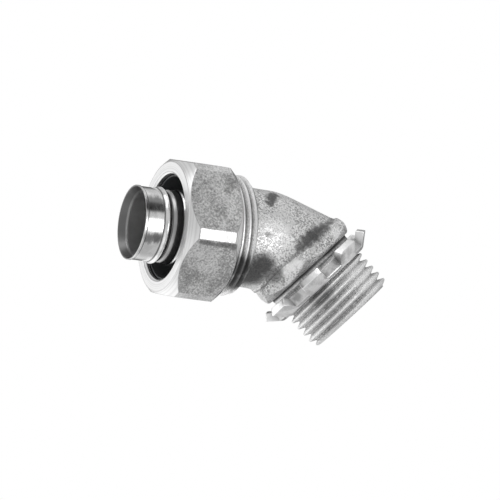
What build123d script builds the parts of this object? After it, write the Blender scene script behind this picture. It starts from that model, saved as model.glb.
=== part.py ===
from build123d import *
from math import atan2, ceil, cos, degrees, radians, sin, tan
import os

# A liquidtight conduit connector, 1/2 inch trade size, turned 45 degrees. Lengths are millimetres.
# The hub thread points down -Z, with the origin on its axis at the flange face.
# The compression leg leaves the bend point towards +X and +Z.

# The bend
bend_angle = 45
bend_height = 7.3

# Hub and its hexagonal wrench flange, which stands out from the thread
hub_diameter = 20.9
hub_wall = 2.55
hub_length = 13.7
hub_end_chamfer = 0.9
hub_mouth_chamfer = 0.7
hub_thread_pitch = 1.814
hub_thread_depth = 1.28
hub_thread_lead = 1.33
hub_thread_stop = 1.0
hub_thread_flat_share = 0.125
hub_thread_overcut = 0.05
flange_reach = 1.25
flange_height = 4.1
flange_face_inset = 0.5
flange_chamfer_rise = 1.95
flange_shoulder_inset = 0.1
flange_shoulder_rise = 1.4

# Threaded collar of the compression leg, and the neck that stands in from it
collar_diameter = 26.0
collar_length = 11.2
collar_chamfer = 0.8
collar_wall = 1.95
collar_lip = 1.15
cone_angle = 30
neck_step = 2.3
neck_length = 5.4
neck_clearance = 0.16
neck_outer_start = 3.7
transition_inset = 0.3
transition_depth = 1.0

# Ferrule, a drawn steel tube with a flange at its foot and a coarse thread rolled into its wall
ferrule_diameter = 15.7
ferrule_wall = 0.8
ferrule_seat_depth = 3.6
ferrule_stand_out = 7.2
ferrule_flange_thickness = 1.0
ferrule_rim_height = 0.15
ferrule_rim_width = 0.5
ferrule_first_ridge = 5.2
ferrule_ridge_pitch = 4.3
ferrule_ridge_height = 0.4
ferrule_ridge_width = 0.5
ferrule_ridge_slope = 0.6
ferrule_groove_depth = 0.35
ferrule_groove_width = 0.35
seat_clearance = 0.02
counterbore_clearance = 0.25
leg_bore_relief = 0.5

# Sealing ring between the collar and the nut, its outside set in from the collar thread
ring_inset = 0.7
ring_length = 5.0
ring_nose_step = 0.25
ring_nose_width = 0.45
ring_clearance = 0.15

# Gland nut, turned from hexagonal bar that clears the collar thread
nut_wall = 1.3
nut_corner_rounding = 0.61
nut_front_inset = 0.35
nut_rear_inset = 0.1
nut_chamfer_angle = 47
nut_lip_length = 1.02
nut_mouth_step = 0.05
nut_mouth_chamfer = 0.4
nut_corner_turn = 3.3
nut_relief = 0.4
exposed_thread = 4.4
thread_clearance = 0.05

# Locknut, stamped and dished with eight lugs, which stand out from the hub thread
locknut_stand_off = 3.0
locknut_thickness = 1.8
locknut_lugs = 8
locknut_first_lug = 51
locknut_lug_width = 5.4
locknut_bend_reach = 1.05
locknut_root_reach = 1.75
locknut_tip_reach = 4.05
locknut_bend_angle = 40
locknut_clearance = 0.05

# Radii worked out from the sizes
hexagon_reach = 1 / cos(radians(30))
cone_slope = tan(radians(cone_angle))
hub_radius = hub_diameter / 2
wireway_radius = hub_radius - hub_wall
flange_flat = hub_radius + flange_reach
collar_radius = collar_diameter / 2
neck_radius = collar_radius - neck_step
counterbore_radius = collar_radius - collar_wall
cone_mouth_radius = collar_radius - collar_lip
tube_radius = ferrule_diameter / 2
tube_bore_radius = tube_radius - ferrule_wall
leg_bore_radius = tube_bore_radius + leg_bore_relief / 2
ferrule_flange_radius = counterbore_radius - counterbore_clearance
ring_radius = collar_radius - ring_inset
ring_nose_radius = counterbore_radius + ring_nose_step
ring_bore_radius = ring_nose_radius - ring_nose_width
nut_flat = collar_radius + nut_wall
nut_bar_radius = nut_flat * hexagon_reach - nut_corner_rounding
thread_radius = collar_radius + thread_clearance
pocket_radius = ring_radius + ring_clearance
mouth_radius = ring_nose_radius + nut_mouth_step

# Places along the leg, measured from the bend. The neck's inner side starts just clear of the flange
turn = radians(bend_angle)
neck_foot_height = flange_height + neck_clearance - bend_height
neck_inner_start = (neck_foot_height + neck_radius * sin(turn)) / cos(turn)
collar_start = neck_inner_start + neck_length
collar_end = collar_start + collar_length
seat_place = collar_end - ferrule_seat_depth
cone_place = collar_end - (cone_mouth_radius - counterbore_radius) / cone_slope
# The ring's rear bevel stands its clearance off the collar's cone, and its front bevel off the nut's cone
bevel_gap = ring_clearance / cone_slope
ring_start = cone_place + ring_nose_step / cone_slope + bevel_gap
ring_end = ring_start + ring_length
nut_start = collar_start + exposed_thread
nut_thread_end = collar_end + nut_relief
lip_place = ring_end - nut_mouth_step / cone_slope + bevel_gap
pocket_end = lip_place - (pocket_radius - mouth_radius) / cone_slope
nut_end = lip_place + nut_lip_length
ferrule_tip = nut_end + ferrule_stand_out

# Planes of the leg
leg_direction = Vector(sin(turn), 0, cos(turn))
leg_inward = Vector(cos(turn), 0, -sin(turn))
bend_point = Vector(0, 0, bend_height)
leg = Plane(origin=bend_point, x_dir=leg_inward, z_dir=leg_direction)
leg_section = Plane(origin=bend_point, x_dir=(0, 1, 0), z_dir=leg_inward)
leg_axis = Axis(bend_point, leg_direction)
neck_lean = atan2(neck_inner_start - neck_outer_start, 2 * neck_radius)
neck_end = Plane(
    origin=leg.offset((neck_outer_start + neck_inner_start) / 2).origin,
    x_dir=leg_inward.rotate(Axis.Y, -degrees(neck_lean)),
    z_dir=leg_direction.rotate(Axis.Y, -degrees(neck_lean)),
)

os.makedirs("parts", exist_ok=True)


def hexagon_bar(plane, flat, length, corner_turn):
    """A hexagonal bar standing on a plane, its flats at a distance from its axis."""
    with BuildPart() as bar:
        with BuildSketch(plane):
            RegularPolygon(flat * hexagon_reach, 6, rotation=corner_turn)
        extrude(amount=length)
    return bar.part


def thread_groove(plane, radius, depth, pitch, length):
    """The helical groove of a right-hand thread up a plane's normal, in runs of two turns or less."""
    root = pitch * hub_thread_flat_share / 2
    crest = pitch / 2 - root
    crest += hub_thread_overcut * (crest - root) / depth
    runs = ceil(length / pitch / 2)
    run_length = length / runs
    with BuildPart() as groove:
        with BuildLine() as path:
            Helix(pitch=pitch, height=run_length, radius=radius)
        with BuildSketch(Plane(origin=path.line @ 0, x_dir=(1, 0, 0), z_dir=path.line % 0)):
            with BuildLine():
                Polyline(
                    (hub_thread_overcut, -crest),
                    (hub_thread_overcut, crest),
                    (-depth, root),
                    (-depth, -root),
                    close=True,
                )
            make_face()
        sweep(path=path.line, is_frenet=True)
    places = [(run * run_length, 360 * run * run_length / pitch) for run in range(runs)]
    return [
        groove.part.moved(plane.location * Location((0, 0, rise), (0, 0, angle)))
        for rise, angle in places
    ]


# The flange is a hexagon whose corners are turned back to the face and slope up into the casting
with BuildPart() as flange:
    add(hexagon_bar(Plane.XY, flange_flat, flange_height, 0))
    corner = flange_flat * hexagon_reach
    face = flange_flat - flange_face_inset
    with BuildSketch(Plane.XZ):
        with BuildLine():
            Polyline(
                (0, 0),
                (face, 0),
                (corner, flange_chamfer_rise),
                (corner, flange_height - flange_shoulder_rise),
                (flange_flat - flange_shoulder_inset, flange_height),
                (0, flange_height),
                close=True,
            )
        make_face()
    revolve(axis=Axis.Z, mode=Mode.INTERSECT)

# Body, one malleable iron casting from the hub thread to the collar thread
with BuildPart() as body:
    with BuildSketch(leg_section):
        with BuildLine():
            Polyline(
                (0, collar_start),
                (collar_radius - collar_chamfer, collar_start),
                (collar_radius, collar_start + collar_chamfer),
                (collar_radius, collar_end - collar_chamfer),
                (collar_radius - collar_chamfer, collar_end),
                (0, collar_end),
                close=True,
            )
        make_face()
    revolve(axis=leg_axis)
    # The neck runs straight from the collar to a leaning oval, then slopes to the flange
    with BuildSketch(leg.offset(collar_start + collar_chamfer)):
        Circle(neck_radius)
    with BuildSketch(neck_end):
        Ellipse(neck_radius / cos(neck_lean), neck_radius)
    with BuildSketch(Plane.XY.offset(flange_height - transition_depth)):
        Circle(flange_flat - transition_inset)
    loft(ruled=True)
    add(flange.part)
    with BuildSketch(Plane.XZ):
        with BuildLine():
            Polyline(
                (0, bend_height),
                (hub_radius - hub_end_chamfer, bend_height),
                (hub_radius, 0),
                (hub_radius, hub_end_chamfer - hub_length),
                (hub_radius - hub_end_chamfer, -hub_length),
                (0, -hub_length),
                close=True,
            )
        make_face()
    revolve(axis=Axis.Z)
    # Wireway: a straight bore up the hub, a ball at the bend and a straight bore down the leg
    with BuildSketch(Plane.XZ):
        with BuildLine():
            Polyline(
                (0, bend_height),
                (wireway_radius, bend_height),
                (wireway_radius, hub_mouth_chamfer - hub_length),
                (wireway_radius + hub_mouth_chamfer, -hub_length),
                (0, -hub_length),
                close=True,
            )
        make_face()
    revolve(axis=Axis.Z, mode=Mode.SUBTRACT)
    with Locations(bend_point):
        Sphere(wireway_radius, mode=Mode.SUBTRACT)
    # Leg bore, the ferrule's seat and the cone that the sealing ring wedges into
    with BuildSketch(leg_section):
        with BuildLine():
            Polyline(
                (0, 0),
                (leg_bore_radius, 0),
                (leg_bore_radius, seat_place),
                (counterbore_radius, seat_place),
                (counterbore_radius, cone_place),
                (cone_mouth_radius, collar_end),
                (0, collar_end),
                close=True,
            )
        make_face()
    revolve(axis=leg_axis, mode=Mode.SUBTRACT)
    # The hub thread starts beyond the hub's end by its lead, in turns, and stops short of the flange
    hub_thread_start = hub_length + hub_thread_lead * hub_thread_pitch
    groove_runs = thread_groove(
        Plane.XY.offset(-hub_thread_start),
        hub_radius,
        hub_thread_depth,
        hub_thread_pitch,
        hub_thread_start - hub_thread_stop,
    )
    for groove_run in groove_runs:
        add(groove_run, mode=Mode.SUBTRACT)

# Ferrule, a thin tube whose rim, ridges and grooves step down from its tip to the flange at its foot
with BuildPart() as ferrule:
    ridge_top = tube_radius + ferrule_ridge_height
    groove_floor = tube_radius - ferrule_groove_depth
    flange_place = seat_place + seat_clearance
    flange_top = flange_place + ferrule_flange_thickness
    outline = [
        (tube_bore_radius, ferrule_tip),
        (tube_radius + ferrule_rim_height, ferrule_tip),
        (tube_radius + ferrule_rim_height, ferrule_tip - ferrule_rim_width),
        (tube_radius, ferrule_tip - ferrule_rim_width - ferrule_rim_height),
    ]
    ridge = ferrule_tip - ferrule_first_ridge
    ridge_half = ferrule_ridge_width / 2
    ridge_reach = ridge_half + 3 * ferrule_ridge_slope + ferrule_groove_width
    while ridge - ridge_reach > flange_top:
        groove = ridge - ridge_half - ferrule_ridge_slope
        outline += [
            (tube_radius, ridge + ridge_half + ferrule_ridge_slope),
            (ridge_top, ridge + ridge_half),
            (ridge_top, ridge - ridge_half),
            (groove_floor, groove),
            (groove_floor, groove - ferrule_groove_width),
            (tube_radius, groove - ferrule_groove_width - ferrule_ridge_slope),
        ]
        ridge -= ferrule_ridge_pitch
    outline += [
        (tube_radius, flange_top),
        (ferrule_flange_radius, flange_top),
        (ferrule_flange_radius, flange_place),
        (tube_bore_radius, flange_place),
    ]
    with BuildSketch(leg_section):
        with BuildLine():
            Polyline(*outline, close=True)
        make_face()
    revolve(axis=leg_axis)

# Gland nut, turned from hexagonal bar
with BuildPart() as gland_nut:
    add(hexagon_bar(leg.offset(nut_start), nut_flat, nut_end - nut_start, nut_corner_turn))
    front = nut_flat - nut_front_inset
    rear = nut_flat - nut_rear_inset
    slope = tan(radians(nut_chamfer_angle))
    with BuildSketch(leg_section):
        with BuildLine():
            Polyline(
                (0, nut_start),
                (rear, nut_start),
                (nut_bar_radius, nut_start + (nut_bar_radius - rear) * slope),
                (nut_bar_radius, nut_end - (nut_bar_radius - front) * slope),
                (front, nut_end),
                (0, nut_end),
                close=True,
            )
        make_face()
    revolve(axis=leg_axis, mode=Mode.INTERSECT)
    with BuildSketch(leg_section):
        with BuildLine():
            Polyline(
                (0, nut_start),
                (thread_radius + nut_relief, nut_start),
                (thread_radius, nut_start + nut_relief),
                (thread_radius, nut_thread_end),
                (pocket_radius, nut_thread_end),
                (pocket_radius, pocket_end),
                (mouth_radius, lip_place),
                (mouth_radius, nut_end - nut_mouth_chamfer),
                (mouth_radius + nut_mouth_chamfer, nut_end),
                (0, nut_end),
                close=True,
            )
        make_face()
    revolve(axis=leg_axis, mode=Mode.SUBTRACT)

# Sealing ring, bevelled at both ends to wedge between the collar's cone and the nut's cone
with BuildPart() as sealing_ring:
    bevel_length = (ring_radius - ring_nose_radius) / cone_slope
    with BuildSketch(leg_section):
        with BuildLine():
            Polyline(
                (ring_bore_radius, ring_start),
                (ring_nose_radius, ring_start),
                (ring_radius, ring_start + bevel_length),
                (ring_radius, ring_end - bevel_length),
                (ring_nose_radius, ring_end),
                (ring_bore_radius, ring_end),
                close=True,
            )
        make_face()
    revolve(axis=leg_axis)

# Locknut, a dished ring cut into lugs that lean towards the flange
with BuildPart() as locknut:
    plate_near = -locknut_stand_off
    plate_far = plate_near - locknut_thickness
    bore = hub_radius + locknut_clearance
    bend_radius = hub_radius + locknut_bend_reach
    tip = hub_radius + locknut_tip_reach
    lean = radians(locknut_bend_angle)
    thickness_across = locknut_thickness * sin(lean)
    thickness_along = locknut_thickness * cos(lean)
    reach = (tip - bend_radius) * tan(lean)
    with BuildSketch(Plane.XZ):
        with BuildLine():
            Polyline(
                (bore, plate_far),
                (bend_radius, plate_far),
                (tip, plate_far + reach),
                (tip - thickness_across, plate_far + reach + thickness_along),
                (bend_radius - thickness_across / 2, plate_near),
                (bore, plate_near),
                close=True,
            )
        make_face()
    revolve(axis=Axis.Z)
    height = reach + 2 * locknut_thickness
    with BuildSketch(Plane.XY.offset(plate_far - seat_clearance)):
        Circle(tip + locknut_thickness)
        Circle(hub_radius + locknut_root_reach, mode=Mode.SUBTRACT)
        with PolarLocations(0, locknut_lugs, start_angle=locknut_first_lug):
            Rectangle(
                tip + locknut_thickness,
                locknut_lug_width,
                align=(Align.MIN, Align.CENTER),
                mode=Mode.SUBTRACT,
            )
    extrude(amount=height, mode=Mode.SUBTRACT)

pieces = {
    "body": body,
    "ferrule": ferrule,
    "sealing_ring": sealing_ring,
    "gland_nut": gland_nut,
    "locknut": locknut,
}
for name, piece in pieces.items():
    piece.part.label = name
    export_step(piece.part, f"parts/{name}.step")
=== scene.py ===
"""Draws a 45 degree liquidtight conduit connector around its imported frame.

Shapes are worked out in millimetres and put into meshes in metres. Every shape is a closed skin: profiles
that run along the part, one for each direction around its axis, joined into a grid of quads.
"""

import logging
from collections.abc import Sequence
from dataclasses import dataclass, field
from enum import Enum
from math import atan2, cos, pi, radians, sin, tan

import bmesh
import bpy
import numpy as np
from mathutils import Matrix, Vector

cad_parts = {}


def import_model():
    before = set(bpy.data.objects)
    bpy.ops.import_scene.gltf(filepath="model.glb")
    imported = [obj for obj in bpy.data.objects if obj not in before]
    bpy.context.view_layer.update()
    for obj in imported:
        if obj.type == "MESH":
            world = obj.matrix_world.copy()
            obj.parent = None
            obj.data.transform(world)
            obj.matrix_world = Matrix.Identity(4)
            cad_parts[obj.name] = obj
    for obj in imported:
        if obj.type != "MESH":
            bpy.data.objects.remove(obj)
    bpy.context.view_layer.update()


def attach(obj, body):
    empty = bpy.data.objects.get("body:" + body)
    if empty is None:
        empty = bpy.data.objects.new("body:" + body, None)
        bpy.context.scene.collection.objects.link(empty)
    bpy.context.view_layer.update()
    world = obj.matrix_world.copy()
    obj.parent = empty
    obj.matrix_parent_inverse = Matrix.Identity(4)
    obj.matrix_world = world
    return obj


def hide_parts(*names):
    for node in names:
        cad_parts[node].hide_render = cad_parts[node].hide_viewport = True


LOG = logging.getLogger("connector")
MM = 0.001
TURN = 2 * pi
WELD_DISTANCE = 2e-7
COLUMN_GAP = 1e-4
EDGE_SHARE = 0.45
HOLD_DISTANCE = 1.4
HOLD_SHARE = 0.48
CURVE_REACH = 0.4
HOLD_REACH = 0.45
# shade marks painted shade in hollows, roots and gaps; inside marks hidden walls, also painted dark
MARKS = ("wear", "shade", "cut", "inside")


# Geometry


@dataclass(frozen=True)
class Axis:
    """A line to turn profiles around, with the direction that angle zero points in."""

    origin: tuple[float, float, float]
    across: tuple[float, float, float]
    along: tuple[float, float, float]

    def place(self, along: np.ndarray, radius: np.ndarray, angle: np.ndarray) -> np.ndarray:
        """Turns heights, radii and angles into points.

        A point is origin + along * axis + radius * (cos(angle) * across + sin(angle) * side), where side is
        the axis crossed with across.

        Args:
            along: Heights on the axis.
            radius: Distances from it.
            angle: Angles around it.

        Returns:
            Points, with one more dimension than the numbers put together.
        """
        across, axis = np.array(self.across), np.array(self.along)
        side = np.cross(axis, across)
        along, radius, angle = np.broadcast_arrays(along, radius, angle)
        return (
            np.array(self.origin)
            + along[..., None] * axis
            + (radius * np.cos(angle))[..., None] * across
            + (radius * np.sin(angle))[..., None] * side
        )


BEND_ANGLE = radians(45)
BEND_HEIGHT = 7.3
HUB = Axis((0.0, 0.0, 0.0), (1.0, 0.0, 0.0), (0.0, 0.0, 1.0))
LEG = Axis(
    (0.0, 0.0, BEND_HEIGHT),
    (cos(BEND_ANGLE), 0.0, -sin(BEND_ANGLE)),
    (sin(BEND_ANGLE), 0.0, cos(BEND_ANGLE)),
)


@dataclass
class Band:
    """Rings of points that follow each other, with the marks that the finishes read.

    Station counts along the profile: it is n at corner n, and goes from n - CURVE_REACH to n +
    CURVE_REACH over that corner's rounding. Wear is 1 on a rubbed edge, shade is 1 where the finishes
    paint shade, in hollow corners, thread roots, gaps and mouths, cut is 1 where a tool has cut and
    inside is 1 on a hidden wall, which the cast and bar finishes paint dark as shade.
    """

    points: np.ndarray
    station: np.ndarray | float = 0.0
    wear: np.ndarray | float = 0.0
    shade: np.ndarray | float = 0.0
    cut: np.ndarray | float = 0.0
    inside: np.ndarray | float = 0.0

    def mark(self, name: str) -> np.ndarray:
        """Returns one mark, spread over every point."""
        return np.broadcast_to(np.asarray(getattr(self, name), float), self.points.shape[:2])

    def reversed(self) -> "Band":
        """Returns the same rings in the other order."""
        marks = {name: self.mark(name)[::-1] for name in ("station", *MARKS)}
        return Band(self.points[::-1], **marks)


def around(count: int, edges: Sequence[float] = ()) -> np.ndarray:
    """Spreads columns evenly around a circle, and puts one on each edge.

    Column k of the even ones stands at k * turn / count. Of two closer than COLUMN_GAP the first stays.

    Args:
        count: Number of even steps.
        edges: Angles that also get a column.

    Returns:
        Angles from nought to a whole turn, both included.
    """
    even = np.linspace(0, TURN, count + 1)
    extra = np.mod(np.asarray(edges, float), TURN)
    angles = np.unique(np.round(np.concatenate([even, extra]), 9))
    keep = np.concatenate([[True], np.diff(angles) > COLUMN_GAP])
    angles = angles[keep]
    angles[-1] = TURN
    return angles


def ease(corners: Sequence[np.ndarray], sizes: Sequence[float], steps: int = 5, **marks: float) -> Band:
    """Rounds the corners of every column's profile.

    A corner P gives way to the curve (1-t)^2 A + 2t(1-t) P + t^2 B. A and B lie on the two edges that
    meet there, as far from P as the corner's size, or at EDGE_SHARE of a shorter edge. One more ring on
    each side, at HOLD_DISTANCE times the size or at HOLD_SHARE of a shorter edge, keeps the flats beside
    it flat, and stands HOLD_REACH from the corner in the stations. Wear and shade rise to 1 in the
    middle of a rounding, as 4t(1-t); shade marks where the finishes paint shade into a hollow corner.
    A rounding is hollow where the edge in, crossed with the edge out, points along the ring.

    Args:
        corners: Rings of points, one for each corner of the profile.
        sizes: The rounding of each corner, or nought for a sharp one.
        steps: Quads along one rounding.
        marks: Marks for the whole band.

    Returns:
        The band, its convex roundings marked as wear and its hollow ones as shade, for painted shade.
    """
    share = np.linspace(0, 1, steps + 1)
    reach = np.concatenate([[-HOLD_REACH], CURVE_REACH * (2 * share - 1), [HOLD_REACH]])
    arch = np.concatenate([[0], 4 * share * (1 - share), [0]])
    t = share[:, None, None]
    rings, rows = [corners[0][None]], [np.zeros((1, 3))]
    for here, (last, corner, following) in enumerate(zip(corners, corners[1:], corners[2:]), start=1):
        size = sizes[here]
        if not size:
            rings.append(corner[None])
            rows.append([[here, 0.0, 0.0]])
            continue
        back, forth = last - corner, following - corner
        back_length = np.linalg.norm(back, axis=-1, keepdims=True) + 1e-9
        forth_length = np.linalg.norm(forth, axis=-1, keepdims=True) + 1e-9
        start = corner + back * np.minimum(size / back_length, EDGE_SHARE)
        end = corner + forth * np.minimum(size / forth_length, EDGE_SHARE)
        curve = (1 - t) ** 2 * start + 2 * t * (1 - t) * corner + t**2 * end
        hold_start = corner + back * np.minimum(HOLD_DISTANCE * size / back_length, HOLD_SHARE)
        hold_end = corner + forth * np.minimum(HOLD_DISTANCE * size / forth_length, HOLD_SHARE)
        rings += [hold_start[None], curve, hold_end[None]]
        tangent = np.roll(corner[:-1], -1, axis=0) - corner[:-1]
        hollow = np.sum(np.cross(-back, forth)[:-1] * tangent) > 0
        rows.append(np.stack([here + reach, arch * (not hollow), arch * hollow], axis=1))
    rings.append(corners[-1][None])
    rows.append([[len(corners) - 1, 0.0, 0.0]])
    station, wear, shade = np.concatenate(rows).T[..., None]
    return Band(np.concatenate(rings), station=station, wear=wear, shade=shade, **marks)


def sew(name: str, bands: Sequence[Band], sharp_angle: float = 38) -> bpy.types.Object:
    """Joins bands into one closed mesh object.

    Quad (i, j) takes points (i, j), (i, j+1), (i+1, j+1) and (i+1, j) of the stacked rings. Points that
    coincide, at the seam and between bands, are merged, and where two bands meet their marks are averaged.

    Args:
        name: Name of the object.
        bands: Bands in order, the last one ending where the first begins.
        sharp_angle: Edges that turn more than this many degrees are shaded sharp.

    Returns:
        The object, linked to the scene.
    """
    points = np.concatenate([band.points for band in bands]) * MM
    rows, columns = points.shape[:2]
    index = np.arange(rows * columns).reshape(rows, columns)
    quads = np.stack([index[:-1, :-1], index[:-1, 1:], index[1:, 1:], index[1:, :-1]], axis=-1)
    mesh = bpy.data.meshes.new(name)
    mesh.from_pydata(points.reshape(-1, 3).tolist(), [], quads.reshape(-1, 4).tolist())
    for mark in MARKS:
        parts = [np.array(band.mark(mark)) for band in bands]
        for before, after in zip(parts, parts[1:] + parts[:1]):
            before[-1] = after[0] = (before[-1] + after[0]) / 2
        values = np.concatenate(parts).astype(np.float32)
        mesh.attributes.new(mark, "FLOAT", "POINT").data.foreach_set("value", values.ravel())
    work = bmesh.new()
    work.from_mesh(mesh)
    bmesh.ops.remove_doubles(work, verts=work.verts, dist=WELD_DISTANCE)
    bmesh.ops.dissolve_degenerate(work, edges=work.edges, dist=WELD_DISTANCE)
    open_edges = sum(not edge.is_manifold for edge in work.edges)
    work.to_mesh(mesh)
    work.free()
    mesh.polygons.foreach_set("use_smooth", np.ones(len(mesh.polygons), bool))
    mesh.set_sharp_from_angle(angle=radians(sharp_angle))
    mesh.update()
    shape = bpy.data.objects.new(name, mesh)
    bpy.context.scene.collection.objects.link(shape)
    LOG.info("%s: %d faces, %d open edges", name, len(mesh.polygons), open_edges)
    return shape


@dataclass(frozen=True)
class Thread:
    """A right-hand thread cut into a round wall, from one height to another.

    A negative depth cuts outwards, as in a nut. Crest, root and ease are shares of the pitch: the widths
    of the two flats, and how softly the flanks meet them. Painted_shade is how much painted shade the
    roots get, from root_start down.
    """

    radius: float
    depth: float
    pitch: float
    start: float
    end: float
    start_radius: float | None = None
    end_radius: float | None = None
    start_runout: float = 0.0
    end_runout: float = 0.0
    phase: float = 0.0
    crest: float = 0.24
    root: float = 0.12
    ease: float = 0.03
    # how much painted shade the roots get
    painted_shade: float = 1.0
    root_start: float = 0.7
    root_power: float = 1.5

    def share(self, along: np.ndarray, angle: np.ndarray) -> np.ndarray:
        """Tells how far down the thread's flank a point lies.

        The crest lies where along / pitch - angle / turn - phase is whole. Away from it the share rises in
        a straight line from the edge of the crest's flat to the edge of the root's flat.

        Args:
            along: Heights on the axis.
            angle: Angles around it.

        Returns:
            0 on a crest and 1 in a root.
        """
        place = np.mod((along - self.start) / self.pitch - angle / TURN - self.phase, 1.0)
        away = np.minimum(place, 1 - place)
        return np.clip((away - self.crest / 2) / (0.5 - (self.crest + self.root) / 2), 0, 1)

    def wall(self, along: np.ndarray, angle: np.ndarray) -> np.ndarray:
        """Gives the radius of the threaded wall.

        It is the crest's radius less depth * share, which fades to nought over a run-out, and no more than
        the end's radius plus the distance from that end.

        Args:
            along: Heights on the axis.
            angle: Angles around it.

        Returns:
            A radius for each point.
        """
        fade = 1.0
        if self.start_runout:
            fade = fade * np.clip((along - self.start) / self.start_runout, 0, 1)
        if self.end_runout:
            fade = fade * np.clip((self.end - along) / self.end_runout, 0, 1)
        radius = self.radius - self.depth * fade * self.share(along, angle)
        if self.start_radius is not None:
            radius = np.minimum(radius, self.start_radius + along - self.start)
        if self.end_radius is not None:
            radius = np.minimum(radius, self.end_radius + self.end - along)
        return radius

    def band(self, axis: Axis, angles: np.ndarray, **marks: float) -> Band:
        """Lays rings along the thread's own crests, flanks and roots.

        Ring k at an angle stands at start + pitch * (turns + knot + angle / turn + phase), held between
        the thread's ends, so the rings never cross. Angle and phase add up to two turns, so the turns are
        counted from -2. Wear is 1.2 - 3 * share, and shade, the painted shade of the roots, is
        painted_shade * ((share - root_start) / (1 - root_start))^root_power, both held at nought or more.

        Args:
            axis: The axis of the thread.
            angles: Column angles.
            marks: Marks for the whole band.

        Returns:
            The band, marked for painted shade deep in its roots and as wear on its crests.
        """
        crest, root, soft = self.crest / 2, 0.5 - self.root / 2, self.ease
        half = [crest - soft, crest + soft, (crest + root) / 2, root - soft, root + soft]
        knots = np.array(half + [1 - knot for knot in half[::-1]])
        turns = int(np.ceil((self.end - self.start) / self.pitch)) + 1
        steps = (np.arange(-2, turns + 1)[:, None] + knots).ravel()
        along = self.start + self.pitch * (steps[:, None] + angles / TURN + self.phase)
        along = np.clip(along, self.start, self.end)
        radius = self.wall(along, angles)
        share = self.share(along, angles)
        wear = np.clip(1.2 - 3 * share, 0, 1)
        # painted shade deep in the roots
        deep = np.clip((share - self.root_start) / (1 - self.root_start), 0, 1)
        shade = self.painted_shade * deep**self.root_power
        return Band(axis.place(along, radius, angles), wear=wear, shade=shade, **marks)


def hexagon(angle: np.ndarray, flat: float, corner_turn: float, rounding: float) -> np.ndarray:
    """Gives the radius of a hexagonal bar with rounded corners.

    On a flat it is flat / cos(angle from the flat's middle). Near a corner it is c * cos(a) +
    sqrt(r^2 - c^2 * sin(a)^2), the far side of a circle of radius r whose centre is c out from the axis.

    Args:
        angle: Angles around the bar.
        flat: Distance from the axis to a flat.
        corner_turn: Angle of one corner.
        rounding: Radius of the corners.

    Returns:
        A radius for each angle.
    """
    sixth = pi / 3
    away = np.abs(np.mod(angle - corner_turn + sixth / 2, sixth) - sixth / 2)
    centre = (flat - rounding) / cos(sixth / 2)
    tangent = atan2(rounding * sin(sixth / 2), centre + rounding * cos(sixth / 2))
    root = np.sqrt(np.maximum(rounding**2 - (centre * np.sin(away)) ** 2, 0))
    return np.where(away < tangent, centre * np.cos(away) + root, flat / np.cos(sixth / 2 - away))


def waver(points: np.ndarray, height: float, length: float, waves: int = 5, seed: int = 11) -> np.ndarray:
    """Moves points as a hand-finished mould would, by a few waves in space.

    Each wave adds height * direction * sin(points . direction' * turn / length + shift), where its own
    length is 0.7 to 1.4 times the one that is given.

    Args:
        points: Points to move.
        height: Largest shift of one wave.
        length: Distance from one crest to the next.
        waves: Number of waves.
        seed: Seed of the waves' directions.

    Returns:
        The moved points.
    """
    draw = np.random.default_rng(seed)
    moved = points.copy()
    for _ in range(waves):
        run, push = draw.normal(size=3), draw.normal(size=3)
        run /= np.linalg.norm(run) * length * draw.uniform(0.7, 1.4)
        push *= height / np.linalg.norm(push)
        moved += np.sin(points @ run * TURN + draw.uniform(0, TURN))[..., None] * push
    return moved


# Shader nodes


class Socket:
    """One shader value that takes part in Python arithmetic."""

    def __init__(self, tree: "Tree", end: bpy.types.NodeSocket) -> None:
        """Keeps the tree and the node's output."""
        self.tree = tree
        self.end = end

    def _math(self, operation: str, first: "Value", second: "Value") -> "Socket":
        """Adds one Math node."""
        return self.tree.add("ShaderNodeMath", {"operation": operation}, [first, second])

    def __add__(self, other: "Value") -> "Socket":
        """Adds."""
        return self._math("ADD", self, other)

    __radd__ = __add__

    def __sub__(self, other: "Value") -> "Socket":
        """Subtracts."""
        return self._math("SUBTRACT", self, other)

    def __rsub__(self, other: "Value") -> "Socket":
        """Subtracts from a number."""
        return self._math("SUBTRACT", other, self)

    def __mul__(self, other: "Value") -> "Socket":
        """Multiplies."""
        return self._math("MULTIPLY", self, other)

    __rmul__ = __mul__

    def __truediv__(self, other: "Value") -> "Socket":
        """Divides."""
        return self._math("DIVIDE", self, other)

    def __pow__(self, other: "Value") -> "Socket":
        """Raises to a power."""
        return self._math("POWER", self, other)


Value = Socket | float | tuple


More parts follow.
